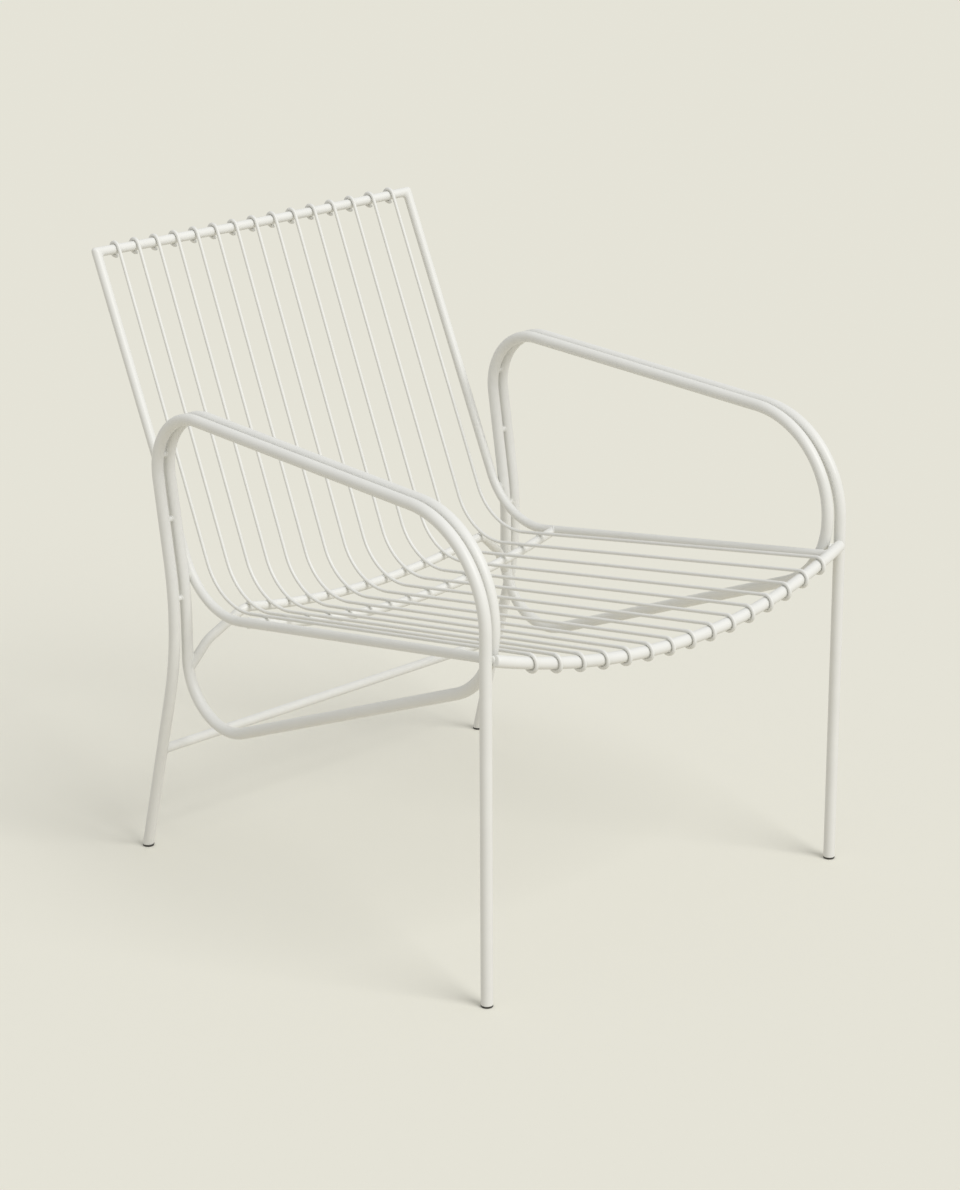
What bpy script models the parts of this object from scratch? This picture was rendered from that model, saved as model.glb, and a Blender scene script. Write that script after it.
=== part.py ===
"""Outdoor armchair of white powder-coated steel tube and wire.

Each side has a leg hoop, one bent tube that is both legs and the armrest, and a closed loop of the
same tube beside it. Side rails, a top rail and a bowed front rail hold a sling of bent steel rods,
which rests on two dished cross bars. Sizes are in metres. Depth is measured back from the front legs,
height up from the floor, and the chair faces -Y.
"""
import math

import bmesh
import bpy
from mathutils import Matrix, Vector

# Stock and fits
FRAME_TUBE = 0.016
SLING_TUBE = 0.0135
FRONT_RAIL_TUBE = 0.016
TUBE_WALL = 0.0015
ROD = 0.005
WELD_GAP = 0.0003
COPE_GAP = 0.0005

# Leg hoop, in its own upright plane
LEG_SPREAD = 0.6708
TOE_IN = math.radians(0.8)
FRONT_FOOT_LEAD = 0.004
ARM_FRONT_HEIGHT = 0.631
ARM_SLOPE = math.radians(2.36)
ARM_FRONT_RADIUS = 0.140
REAR_CORNER_DEPTH = 0.661
REAR_CORNER_RADIUS = 0.084
KNEE_DEPTH = 0.6095
KNEE_HEIGHT = 0.341
KNEE_RADIUS = 0.48
REAR_FOOT_DEPTH = 0.697

# Closed loop beside the hoop
LOOP_GAP = 0.004
LOOP_SETBACK = 0.0053
LOOP_FRONT_RADIUS = 0.135
LOOP_KNEE_HEIGHT = 0.393
LOOP_LOW_REAR_HEIGHT = 0.173
LOOP_LOW_REAR_RADIUS = 0.085
LOOP_LOW_FRONT_HEIGHT = 0.4255
LOOP_LOW_FRONT_RADIUS = 0.110

# Spacer pins between hoop and loop
SPACER_DIAMETER = 0.008
SPACER_DROPS = (0.070, 0.160, 0.270)

# Foot glides
GLIDE_THICKNESS = 0.003
GLIDE_EDGE = 0.0008
GLIDE_STEM = 0.014

# Sling frame
BACK_TOP_DEPTH = 0.812
BACK_TOP_HEIGHT = 0.8345
SEAT_CORNER_DEPTH = 0.600
SEAT_CORNER_HEIGHT = 0.361
SEAT_CORNER_RADIUS = 0.107
TOP_RAIL_BOW = 0.015
FRONT_RAIL_HEIGHT = 0.4663
FRONT_RAIL_SAG = 0.048
FRONT_RAIL_BOW = 0.022
SEAT_BAR_LEAD = 0.097
SEAT_BAR_SAG = 0.039

# Rods
ROD_COUNT = 15
ROD_PITCH_TOP = 0.0364
ROD_PITCH_FRONT = 0.0390
ROD_HEEL_RADIUS = 0.087
ROD_HEEL_SETBACK = 0.0011
ROD_HEEL_DISH = 0.0095
TOP_HOOK_WRAP = math.radians(275)
FRONT_HOOK_WRAP = math.radians(225)

# Arch bar under the heels of the rods, and the stretcher between the rear legs
ARCH_ANGLE = math.radians(23)
ARCH_SHOULDER = 0.228
ARCH_SHOULDER_RADIUS = 0.030
ARCH_END_HEIGHT = 0.302
STRETCHER_HEIGHT = 0.158

# Fineness of the mesh
TUBE_SIDES = 10
ROD_SIDES = 6
BEND_STEP = math.radians(13)
HOOK_STEP = math.radians(32)

FRAME_RADIUS = FRAME_TUBE / 2
SLING_RADIUS = SLING_TUBE / 2
FRONT_RAIL_RADIUS = FRONT_RAIL_TUBE / 2
ROD_RADIUS = ROD / 2
LOOP_OFFSET = FRAME_TUBE + LOOP_GAP
RAIL_OFFSET = LOOP_OFFSET + FRAME_RADIUS + WELD_GAP + SLING_RADIUS
SEAT_BAR_SETBACK = SEAT_CORNER_DEPTH - SEAT_BAR_LEAD
ROD_HEEL_DEPTH = SEAT_CORNER_DEPTH + ROD_HEEL_SETBACK
SIDES = (("right", -1), ("left", 1))


def clear_scene():
    for thing in list(bpy.data.objects):
        bpy.data.objects.remove(thing, do_unlink=True)


def finish(name, colour, roughness, metallic=0.0):
    material = bpy.data.materials.new(name)
    material.use_nodes = True
    shader = material.node_tree.nodes["Principled BSDF"]
    shader.inputs["Base Color"].default_value = (*colour, 1.0)
    shader.inputs["Roughness"].default_value = roughness
    shader.inputs["Metallic"].default_value = metallic
    return material


# Paths

def side_point(side, offset, depth, height):
    """Point of a side frame: offset inboard of the hoop's plane, which toes in towards the back."""
    along = Vector((-side * math.sin(TOE_IN), math.cos(TOE_IN), 0))
    inboard = Vector((-side * math.cos(TOE_IN), -math.sin(TOE_IN), 0))
    front_leg = Vector((side * LEG_SPREAD / 2, 0, 0))
    return front_leg + inboard * offset + along * depth + Vector((0, 0, height))


def bend(before, corner, after, radius):
    """Points of the arc of the given radius that rounds a corner."""
    back = (before - corner).normalized()
    ahead = (after - corner).normalized()
    half = back.angle(ahead) / 2
    centre = corner + (back + ahead).normalized() * radius / math.sin(half)
    turn = math.pi - 2 * half
    start = corner + back * radius / math.tan(half) - centre
    axis = (-back).cross(ahead).normalized()
    steps = max(2, round(turn / BEND_STEP))
    return [centre + Matrix.Rotation(turn * i / steps, 3, axis) @ start for i in range(steps + 1)]


def bent_path(corners, radii):
    """Open path from the first corner to the last, rounded at those between."""
    path = [corners[0]]
    for before, corner, after, radius in zip(corners, corners[1:], corners[2:], radii):
        path += bend(before, corner, after, radius)
    return path + [corners[-1]]


def directions(path):
    """Unit direction of the path at each of its points."""
    steps = [(b - a).normalized() for a, b in zip(path, path[1:])]
    middle = [(a + b).normalized() for a, b in zip(steps, steps[1:])]
    return [steps[0], *middle, steps[-1]]


def frames(path):
    """A matrix at each point, Z along the path, carried along without twist."""
    result = []
    tangents = directions(path)
    across = tangents[0].orthogonal().normalized()
    if abs(tangents[0].x) < 0.9:
        across = (Vector((1, 0, 0)) - tangents[0] * tangents[0].x).normalized()
    for point, tangent in zip(path, tangents):
        across = (across - tangent * across.dot(tangent)).normalized()
        matrix = Matrix((across, tangent.cross(across), tangent)).transposed().to_4x4()
        matrix.translation = point
        result.append(matrix)
    return result


# Cuts of a tube's end: each slides a point along the tube's direction

def cope(axis_point, axis_direction, radius):
    """Saddle cut that fits the end against a round tube."""
    def slide(point, direction):
        axis = axis_direction.normalized()
        offset = point - axis_point
        flat_offset = offset - axis * offset.dot(axis)
        flat_way = direction - axis * direction.dot(axis)
        a = flat_way.length_squared
        b = flat_offset.dot(flat_way)
        c = flat_offset.length_squared - radius * radius
        reach = math.sqrt(max(b * b - a * c, 0))
        return point + direction * ((-b - reach) / a)
    return slide


def flat_cut(plane_point, plane_normal):
    """Straight cut along a plane, such as a mitre or the sole of a leg."""
    def slide(point, direction):
        distance = (plane_point - point).dot(plane_normal) / direction.dot(plane_normal)
        return point + direction * distance
    return slide


# Solids

def new_object(name, bm, material):
    bmesh.ops.recalc_face_normals(bm, faces=bm.faces)
    mesh = bpy.data.meshes.new(name)
    bm.to_mesh(mesh)
    bm.free()
    mesh.materials.append(material)
    mesh.shade_smooth()
    mesh.set_sharp_from_angle(angle=math.radians(40))
    thing = bpy.data.objects.new(name, mesh)
    bpy.context.collection.objects.link(thing)
    return thing


def ring(bm, matrix, radius, sides):
    return bmesh.ops.create_circle(bm, segments=sides, radius=radius, matrix=matrix)["verts"]


def band(bm, first, second):
    """Quads between two rings that have as many points."""
    for i in range(len(first)):
        bm.faces.new((first[i - 1], first[i], second[i], second[i - 1]))


def skin(bm, path, radius, sides, cuts):
    """Rings of one round skin along the path, its two end rings slid onto their cuts."""
    placed = frames(path)
    rings = [ring(bm, matrix, radius, sides) for matrix in placed]
    for verts, matrix, cut, way in ((rings[0], placed[0], cuts[0], -1), (rings[-1], placed[-1], cuts[1], 1)):
        direction = matrix.to_3x3() @ Vector((0, 0, way))
        for vert in verts if cut else ():
            vert.co = cut(vert.co - direction * radius * 3, direction)
    return rings


def tube(name, path, diameter, material, start_cut=None, end_cut=None):
    """Hollow tube along a path, open at both ends."""
    bm = bmesh.new()
    cuts = (start_cut, end_cut)
    outside = skin(bm, path, diameter / 2, TUBE_SIDES, cuts)
    bore = skin(bm, path, diameter / 2 - TUBE_WALL, TUBE_SIDES, cuts)
    rings = [*outside, *reversed(bore), outside[0]]
    for first, second in zip(rings, rings[1:]):
        band(bm, first, second)
    return new_object(name, bm, material)


def capped(bm, rings):
    """Closes a row of rings into a solid."""
    for first, second in zip(rings, rings[1:]):
        band(bm, first, second)
    bm.faces.new(rings[0])
    bm.faces.new(rings[-1])


def solid_rod(name, path, diameter, material, sides):
    bm = bmesh.new()
    capped(bm, skin(bm, path, diameter / 2, sides, (None, None)))
    return new_object(name, bm, material)


def fitted_pin(name, ends, diameter, material, cuts):
    """Short solid pin between two tubes, each end closed by a fan about its own middle."""
    bm = bmesh.new()
    short = [ends[0].lerp(ends[1], share) for share in (0.49, 0.51)]
    rings = skin(bm, short, diameter / 2, TUBE_SIDES, cuts)
    band(bm, *rings)
    middle = (ends[0] + ends[1]) / 2
    along = (ends[1] - ends[0]).normalized()
    for verts, cut, way in ((rings[0], cuts[0], -along), (rings[1], cuts[1], along)):
        tip = bm.verts.new(cut(middle, way))
        for i in range(len(verts)):
            bm.faces.new((verts[i - 1], verts[i], tip))
    return new_object(name, bm, material)


# Outlines of the side frames, as corners in depth and height

def arm_height(depth):
    return ARM_FRONT_HEIGHT + depth * math.tan(ARM_SLOPE)


def upright_depth(height):
    """Depth of the rear upright above the knee."""
    rise = arm_height(REAR_CORNER_DEPTH) - KNEE_HEIGHT
    return KNEE_DEPTH + (REAR_CORNER_DEPTH - KNEE_DEPTH) * (height - KNEE_HEIGHT) / rise


HOOP_CORNERS = (
    (-FRONT_FOOT_LEAD, 0),
    (0, arm_height(0)),
    (REAR_CORNER_DEPTH, arm_height(REAR_CORNER_DEPTH)),
    (KNEE_DEPTH, KNEE_HEIGHT),
    (REAR_FOOT_DEPTH, 0),
)
HOOP_RADII = (ARM_FRONT_RADIUS, REAR_CORNER_RADIUS, KNEE_RADIUS)

LOOP_REAR_DEPTH = upright_depth(LOOP_KNEE_HEIGHT)
LOOP_CORNERS = (
    (LOOP_SETBACK, arm_height(LOOP_SETBACK)),
    (REAR_CORNER_DEPTH, arm_height(REAR_CORNER_DEPTH)),
    (LOOP_REAR_DEPTH, LOOP_KNEE_HEIGHT),
    (LOOP_REAR_DEPTH, LOOP_LOW_REAR_HEIGHT),
    (LOOP_SETBACK, LOOP_LOW_FRONT_HEIGHT),
)
LOOP_RADII = (LOOP_FRONT_RADIUS, REAR_CORNER_RADIUS, KNEE_RADIUS, LOOP_LOW_REAR_RADIUS, LOOP_LOW_FRONT_RADIUS)


def outline(corners, radii):
    """Bent outline in depth and height, with no distance across."""
    return bent_path([Vector((0, *corner)) for corner in corners], radii)


HOOP_OUTLINE = outline(HOOP_CORNERS, HOOP_RADII)
LOOP_OUTLINE = outline((*LOOP_CORNERS, LOOP_CORNERS[0]), LOOP_RADII[1:])


def rear_depth(path, height):
    """Depth at which the rear side of an outline crosses a height."""
    crossings = []
    for low, high in zip(path, path[1:]):
        if (low.z - height) * (high.z - height) < 0:
            crossings.append(low.lerp(high, (height - low.z) / (high.z - low.z)).y)
    return max(crossings)


def leg_hoop(name, side, material):
    path = [side_point(side, 0, point.y, point.z) for point in HOOP_OUTLINE]
    sole = flat_cut(Vector((0, 0, GLIDE_THICKNESS + WELD_GAP)), Vector((0, 0, 1)))
    return tube(name, path, FRAME_TUBE, material, sole, sole)


def arm_loop(name, side, material):
    """Closed loop whose butt seam, open by the weld gap, is in the middle of the low bar."""
    corners = [side_point(side, LOOP_OFFSET, depth, height) for depth, height in LOOP_CORNERS]
    seam = (corners[-2] + corners[-1]) / 2
    along = (corners[-1] - corners[-2]).normalized() * WELD_GAP / 2
    route = [seam + along, corners[-1], *corners[:-1], seam - along]
    radii = (LOOP_RADII[-1], *LOOP_RADII[:-1])
    return tube(name, bent_path(route, radii), FRAME_TUBE, material)


def spacer(name, side, drop, material):
    """Pin between the rear uprights of hoop and loop, a drop below the rear corner of the arm."""
    height = arm_height(REAR_CORNER_DEPTH) - drop
    levels = (height - SPACER_DIAMETER / 2, height, height + SPACER_DIAMETER / 2)
    ends = []
    cuts = []
    for path, offset in ((HOOP_OUTLINE, 0), (LOOP_OUTLINE, LOOP_OFFSET)):
        low, end, high = [side_point(side, offset, rear_depth(path, level), level) for level in levels]
        ends.append(end)
        cuts.append(cope(end, high - low, FRAME_RADIUS + COPE_GAP))
    return fitted_pin(name, ends, SPACER_DIAMETER, material, cuts)


def foot_glide(name, side, foot, above, material):
    """Moulded plug: a flat sole as wide as the leg and a stem up its bore."""
    low = side_point(side, 0, *foot)
    way = (side_point(side, 0, *above) - low).normalized()
    stem = FRAME_RADIUS - TUBE_WALL - WELD_GAP * 2
    profile = (
        (0, FRAME_RADIUS - GLIDE_EDGE),
        (GLIDE_EDGE, FRAME_RADIUS),
        (GLIDE_THICKNESS, FRAME_RADIUS),
        (GLIDE_THICKNESS, stem),
        (GLIDE_THICKNESS + GLIDE_STEM, stem - GLIDE_EDGE),
    )
    bm = bmesh.new()
    rings = []
    for height, radius in profile:
        matrix = Matrix.Translation(low + way * height / way.z)
        rings.append(ring(bm, matrix, radius, TUBE_SIDES))
    capped(bm, rings)
    return new_object(name, bm, material)


# Cross members: each gives its centre at a distance across from the chair's middle

FRONT_RAIL_DEPTH = LOOP_SETBACK - FRAME_RADIUS - WELD_GAP - FRONT_RAIL_RADIUS
RAIL_END_SPREAD = LEG_SPREAD / 2 - LOOP_OFFSET


def side_rail_spread(depth):
    return side_point(1, RAIL_OFFSET, depth, 0).x


def front_rail_half():
    """Half length of the front rail, whose end stops against the inner face of the front leg."""
    lap = max(abs(FRONT_RAIL_DEPTH) - FRONT_RAIL_RADIUS, 0)
    reach = math.sqrt((FRAME_RADIUS + WELD_GAP) ** 2 - min(lap, FRAME_RADIUS) ** 2)
    return LEG_SPREAD / 2 - reach - WELD_GAP


def bowed(across, half, end, dip):
    """Centre of a bar bent to an even dip between its ends."""
    share = 1 - (across / half) ** 2
    return Vector((across, *end)) + Vector((0, *dip)) * share


def top_rail_centre(across):
    lean = Vector((BACK_TOP_DEPTH - SEAT_CORNER_DEPTH, BACK_TOP_HEIGHT - SEAT_CORNER_HEIGHT)).normalized()
    dip = (lean.y * TOP_RAIL_BOW, -lean.x * TOP_RAIL_BOW)
    end = side_point(1, RAIL_OFFSET, BACK_TOP_DEPTH, BACK_TOP_HEIGHT)
    return bowed(across, end.x, (end.y, end.z), dip)


def front_rail_centre(across):
    dip = (-FRONT_RAIL_BOW, -FRONT_RAIL_SAG)
    share = 1 - (RAIL_END_SPREAD / front_rail_half()) ** 2
    end = (FRONT_RAIL_DEPTH + FRONT_RAIL_BOW * share, FRONT_RAIL_HEIGHT)
    return bowed(across, front_rail_half(), end, dip)


def side_rail_height(depth):
    """Height of the side rails' seat run, which ends level with the front rail."""
    across = side_rail_spread(0)
    front = front_rail_centre(across)
    rise = (front.z - SEAT_CORNER_HEIGHT) / (SEAT_CORNER_DEPTH - front.y)
    return SEAT_CORNER_HEIGHT + (SEAT_CORNER_DEPTH - depth) * rise


def seat_bar_centre(across):
    end = (SEAT_BAR_SETBACK, side_rail_height(SEAT_BAR_SETBACK))
    return bowed(across, side_rail_spread(SEAT_BAR_SETBACK), end, (0, -SEAT_BAR_SAG))


def stand_off(centre, across, radius=SLING_RADIUS):
    """Distance from a bowed rail's centre to a rod's, in the rod's upright plane."""
    ahead = centre(across + ROD) - centre(across - ROD)
    return radius * ahead.length / (2 * ROD) + WELD_GAP + ROD_RADIUS


def side_rail(name, side, material):
    corner = (SEAT_CORNER_DEPTH, SEAT_CORNER_HEIGHT)
    top = side_point(side, RAIL_OFFSET, BACK_TOP_DEPTH, BACK_TOP_HEIGHT)
    heel = side_point(side, RAIL_OFFSET, *corner)
    across = side * side_rail_spread(0)
    front = front_rail_centre(across)
    seat_end = side_point(side, RAIL_OFFSET, front.y, side_rail_height(front.y))
    front_way = front_rail_centre(across + ROD) - front_rail_centre(across - ROD)
    notch = cope(front, front_way, FRONT_RAIL_RADIUS + COPE_GAP)
    path = bent_path([top, heel, seat_end], (SEAT_CORNER_RADIUS,))
    return tube(name, path, SLING_TUBE, material, top_mitre(side, heel, WELD_GAP / 2), notch)


def top_mitre(side, heel, back_off):
    """Mitre of the square upper corner; back_off is signed towards the side rail."""
    corner = side_point(side, RAIL_OFFSET, BACK_TOP_DEPTH, BACK_TOP_HEIGHT)
    down = (heel - corner).normalized()
    inward = (top_rail_centre(corner.x * 0.99) - corner).normalized()
    normal = (down - inward).normalized()
    return flat_cut(corner + normal * back_off, normal)


def cross_path(centre, half, pitch, welds=()):
    """Path of a bowed cross member with a point at each rod and each weld."""
    rods = [(i - (ROD_COUNT - 1) / 2) * pitch for i in range(ROD_COUNT)]
    inner = [x for x in rods if abs(x) < half - SLING_TUBE]
    return [centre(x) for x in sorted((-half, *inner, *welds, half))]


def top_rail(name, material):
    half = side_point(1, RAIL_OFFSET, BACK_TOP_DEPTH, 0).x
    heels = [side_point(side, RAIL_OFFSET, SEAT_CORNER_DEPTH, SEAT_CORNER_HEIGHT) for _, side in SIDES]
    cuts = [top_mitre(side, heel, -WELD_GAP / 2) for (_, side), heel in zip(SIDES, heels)]
    return tube(name, cross_path(top_rail_centre, half, ROD_PITCH_TOP), SLING_TUBE, material, *cuts)


def front_rail(name, material):
    welds = [side * side_rail_spread(0) for _, side in SIDES]
    path = cross_path(front_rail_centre, front_rail_half(), ROD_PITCH_FRONT, welds)
    square = [flat_cut(path[i], Vector((1, 0, 0))) for i in (0, -1)]
    return tube(name, path, FRONT_RAIL_TUBE, material, *square)


def seat_bar(name, material):
    half = side_rail_spread(SEAT_BAR_SETBACK)
    path = cross_path(seat_bar_centre, half, rod_across(1, SEAT_BAR_SETBACK))
    ends = [side_point(side, RAIL_OFFSET, SEAT_BAR_SETBACK, path[0].z) for _, side in SIDES]
    fronts = [side_point(side, RAIL_OFFSET, 0, side_rail_height(0)) for _, side in SIDES]
    cuts = [cope(end, front - end, SLING_RADIUS + COPE_GAP) for end, front in zip(ends, fronts)]
    return tube(name, path, SLING_TUBE, material, *cuts)


# Rods: each is bent in one upright plane, which fans out a little towards the front

def rod_across(index, depth):
    """Distance across at a depth of the rod that is index places from the middle."""
    top = top_rail_centre(0).y
    front = front_rail_centre(0).y
    share = (top - depth) / (top - front)
    return index * (ROD_PITCH_TOP + (ROD_PITCH_FRONT - ROD_PITCH_TOP) * share)


def in_plane(index, depth, height):
    return Vector((rod_across(index, depth), depth, height))


def tangent_line(start, start_gap, end, end_gap):
    """Line that passes two centres at set distances on its upper left, in depth and height."""
    way = end - start
    turn = math.asin((end_gap - start_gap) / way.length)
    direction = Matrix.Rotation(turn, 2) @ way.normalized()
    normal = Vector((-direction.y, direction.x))
    return start + normal * start_gap, end + normal * end_gap


def flat(vector):
    return Vector((vector.y, vector.z))


def rod_lines(index):
    """Seat and back of one rod in depth and height: front, heel corner and top tangent points."""
    across_front = rod_across(index, front_rail_centre(0).y)
    across_bar = rod_across(index, SEAT_BAR_SETBACK)
    across_top = rod_across(index, top_rail_centre(0).y)
    front = flat(front_rail_centre(across_front))
    bar = flat(seat_bar_centre(across_bar))
    top = flat(top_rail_centre(across_top))
    front_gap = stand_off(front_rail_centre, across_front, FRONT_RAIL_RADIUS)
    bar_gap = stand_off(seat_bar_centre, across_bar)
    top_gap = stand_off(top_rail_centre, across_top)
    on_front, on_bar = tangent_line(front, front_gap, bar, bar_gap)
    edge = rod_across((ROD_COUNT - 1) / 2, SEAT_BAR_SETBACK)
    heel_depth = ROD_HEEL_DEPTH + ROD_HEEL_DISH * (1 - (across_bar / edge) ** 2)
    slope = (on_bar - on_front) / (on_bar.x - on_front.x)
    heel = on_front + slope * (heel_depth - on_front.x)
    on_top = tangent_line(heel, 0, top, top_gap)[1]
    return front, on_front, heel, on_top, top


def hook(centre, start, wrap, turn):
    """Points of a hook that winds round a centre from its start point."""
    steps = math.ceil(wrap / HOOK_STEP)
    half = wrap / steps / 2
    arm = (start - centre) / math.cos(half)
    return [centre + Matrix.Rotation(turn * (2 * i + 1) * half, 2) @ arm for i in range(steps)]


def rod_path(index):
    front, on_front, heel, on_top, top = rod_lines(index)
    front_hook = hook(front, on_front, FRONT_HOOK_WRAP, 1)
    top_hook = hook(top, on_top, TOP_HOOK_WRAP, -1)
    corners = [Vector((0, *point)) for point in (on_front, heel, on_top)]
    heel_bend = [flat(point) for point in bend(*corners, ROD_HEEL_RADIUS)]
    route = [*reversed(front_hook), *heel_bend, *top_hook]
    return [in_plane(index, *point) for point in route]


def seat_rod(name, index, material):
    return solid_rod(name, rod_path(index), ROD, material, ROD_SIDES)


# Arch bar and stretcher

def arch_point(across):
    """Centre of the arch bar where it lies under the heels of the rods."""
    index = across / rod_across(1, SEAT_CORNER_DEPTH)
    front, on_front, heel, on_top, top = rod_lines(index)
    ways = [(point - heel).normalized() for point in (on_front, on_top)]
    half = ways[0].angle(ways[1]) / 2
    centre = heel + (ways[0] + ways[1]).normalized() * ROD_HEEL_RADIUS / math.sin(half)
    reach = ROD_HEEL_RADIUS + ROD_RADIUS + WELD_GAP * 2 + SLING_RADIUS
    point = centre + Vector((math.sin(ARCH_ANGLE), -math.cos(ARCH_ANGLE))) * reach
    return Vector((across, *point))


def arch_bar(name, material):
    pitch = rod_across(1, SEAT_CORNER_DEPTH)
    reach = int(ARCH_SHOULDER / pitch - 0.5)
    middle = [arch_point(i * pitch) for i in range(-reach, reach + 1)]
    end_depth = rear_depth(LOOP_OUTLINE, ARCH_END_HEIGHT)
    ends = [side_point(side, LOOP_OFFSET, end_depth, ARCH_END_HEIGHT) for _, side in SIDES]
    shoulders = [arch_point(side * ARCH_SHOULDER) for _, side in SIDES]
    left = bend(ends[0], shoulders[0], middle[0], ARCH_SHOULDER_RADIUS)
    right = bend(middle[-1], shoulders[1], ends[1], ARCH_SHOULDER_RADIUS)
    cuts = [cope(end, Vector((0, 0, 1)), FRAME_RADIUS + COPE_GAP) for end in ends]
    return tube(name, [ends[0], *left, *middle, *right, ends[1]], SLING_TUBE, material, *cuts)


def stretcher(name, material):
    depth = rear_depth(HOOP_OUTLINE, STRETCHER_HEIGHT)
    ends = [side_point(side, 0, depth, STRETCHER_HEIGHT) for _, side in SIDES]
    feet = [side_point(side, 0, REAR_FOOT_DEPTH, 0) for _, side in SIDES]
    cuts = [cope(end, foot - end, FRAME_RADIUS + COPE_GAP) for end, foot in zip(ends, feet)]
    return tube(name, ends, SLING_TUBE, material, *cuts)


def centre_on_origin(things):
    """Moves the chair so that the origin is under the middle of its depth."""
    depths = [(thing.matrix_world @ vert.co).y for thing in things for vert in thing.data.vertices]
    middle = (min(depths) + max(depths)) / 2
    for thing in things:
        thing.location.y -= middle


def build():
    clear_scene()
    powder_coat = finish("white_powder_coat", (0.80, 0.79, 0.75), 0.42)
    glide_plastic = finish("dark_glide_plastic", (0.045, 0.042, 0.04), 0.6)
    things = []
    for label, side in SIDES:
        things.append(leg_hoop(f"{label}_leg_hoop", side, powder_coat))
        things.append(arm_loop(f"{label}_arm_loop", side, powder_coat))
        things.append(side_rail(f"{label}_side_rail", side, powder_coat))
        for number, drop in enumerate(SPACER_DROPS, 1):
            things.append(spacer(f"{label}_spacer_{number}", side, drop, powder_coat))
        things.append(foot_glide(f"{label}_front_glide", side, *HOOP_CORNERS[:2], glide_plastic))
        things.append(foot_glide(f"{label}_rear_glide", side, *reversed(HOOP_CORNERS[-2:]), glide_plastic))
    things.append(top_rail("back_top_rail", powder_coat))
    things.append(front_rail("front_rail", powder_coat))
    things.append(seat_bar("seat_bar", powder_coat))
    things.append(arch_bar("rear_arch_bar", powder_coat))
    things.append(stretcher("rear_stretcher", powder_coat))
    for number in range(ROD_COUNT):
        index = number - (ROD_COUNT - 1) / 2
        things.append(seat_rod(f"seat_rod_{number + 1:02d}", index, powder_coat))
    centre_on_origin(things)


build()
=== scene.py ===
import math

import bmesh
import bpy
from mathutils import Matrix, Vector


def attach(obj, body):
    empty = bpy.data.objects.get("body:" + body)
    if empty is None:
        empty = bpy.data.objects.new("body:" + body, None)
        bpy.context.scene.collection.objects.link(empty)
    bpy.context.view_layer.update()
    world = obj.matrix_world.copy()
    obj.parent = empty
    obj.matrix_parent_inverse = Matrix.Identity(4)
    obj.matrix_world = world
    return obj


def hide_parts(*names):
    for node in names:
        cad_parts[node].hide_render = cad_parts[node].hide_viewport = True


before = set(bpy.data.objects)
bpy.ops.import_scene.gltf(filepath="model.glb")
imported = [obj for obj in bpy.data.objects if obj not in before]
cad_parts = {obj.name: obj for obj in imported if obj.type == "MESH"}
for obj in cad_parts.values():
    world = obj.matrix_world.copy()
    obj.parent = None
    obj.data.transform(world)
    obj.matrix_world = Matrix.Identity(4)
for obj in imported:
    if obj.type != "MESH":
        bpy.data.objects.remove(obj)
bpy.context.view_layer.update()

# Leg hoops
# Each side's front leg, outer arm rail and rear leg are one 16 mm steel tube, drawn round two wide
# corners and a slack knee on a bender. The whole chair is powder coated in white after welding.

FRAME_TUBE = 0.016
FRONT_LEGS_Y = -0.3961
LEG_SPREAD = 0.6708
TOE_IN = math.radians(0.8)
FOOT_LEAD = 0.004
GLIDE_THICKNESS = 0.003
ARM_FRONT_HEIGHT = 0.631
ARM_SLOPE = math.radians(2.36)
ARM_FRONT_RADIUS = 0.140
REAR_CORNER_DEPTH = 0.661
REAR_CORNER_RADIUS = 0.084
KNEE_DEPTH = 0.6095
KNEE_HEIGHT = 0.341
KNEE_RADIUS = 0.48
REAR_FOOT_DEPTH = 0.697
BEND_STEP = math.radians(3)
TUBE_SIDES = 32
SEAM_MERGE = 0.02
POINT_MERGE = 0.000005
CREASE = math.radians(50)
SIDES = (("right", -1), ("left", 1))


def side_point(side, offset, depth, height):
    """Point of a side frame: offset inboard of the hoop, which toes in towards the back."""
    front_leg = Vector((side * LEG_SPREAD / 2, FRONT_LEGS_Y, height))
    along = Vector((-side * math.sin(TOE_IN), math.cos(TOE_IN), 0))
    inboard = Vector((-side * math.cos(TOE_IN), -math.sin(TOE_IN), 0))
    return front_leg + inboard * offset + along * depth


def arm_height(depth):
    """Height of the arm rails' corner points at a depth."""
    return ARM_FRONT_HEIGHT + depth * math.tan(ARM_SLOPE)


def rounded(corners, radii, step=BEND_STEP):
    """Path through corners, each between the ends rounded to its bend radius."""
    path = [corners[0]]
    for before, corner, after, radius in zip(corners, corners[1:], corners[2:], radii):
        back = (before - corner).normalized()
        ahead = (after - corner).normalized()
        half = back.angle(ahead) / 2
        centre = corner + (back + ahead).normalized() * radius / math.sin(half)
        start = corner + back * radius / math.tan(half) - centre
        turn = math.pi - 2 * half
        axis = ahead.cross(back).normalized()
        count = math.ceil(turn / step)
        path += [centre + Matrix.Rotation(turn * i / count, 3, axis) @ start for i in range(count + 1)]
    return path + [corners[-1]]


def frames_along(path, closed=False):
    """A matrix at each point of a path, Z along it, carried on without twist."""
    frames = []
    across = None
    for i, point in enumerate(path):
        before = path[i - 1] if closed or i > 0 else point
        after = path[(i + 1) % len(path)] if closed or i < len(path) - 1 else point
        ahead = (after - before).normalized()
        across = across or ahead.orthogonal()
        across = (across - ahead * across.dot(ahead)).normalized()
        matrix = Matrix((across, ahead.cross(across), ahead)).transposed().to_4x4()
        matrix.translation = point
        frames.append(matrix)
    return frames


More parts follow.
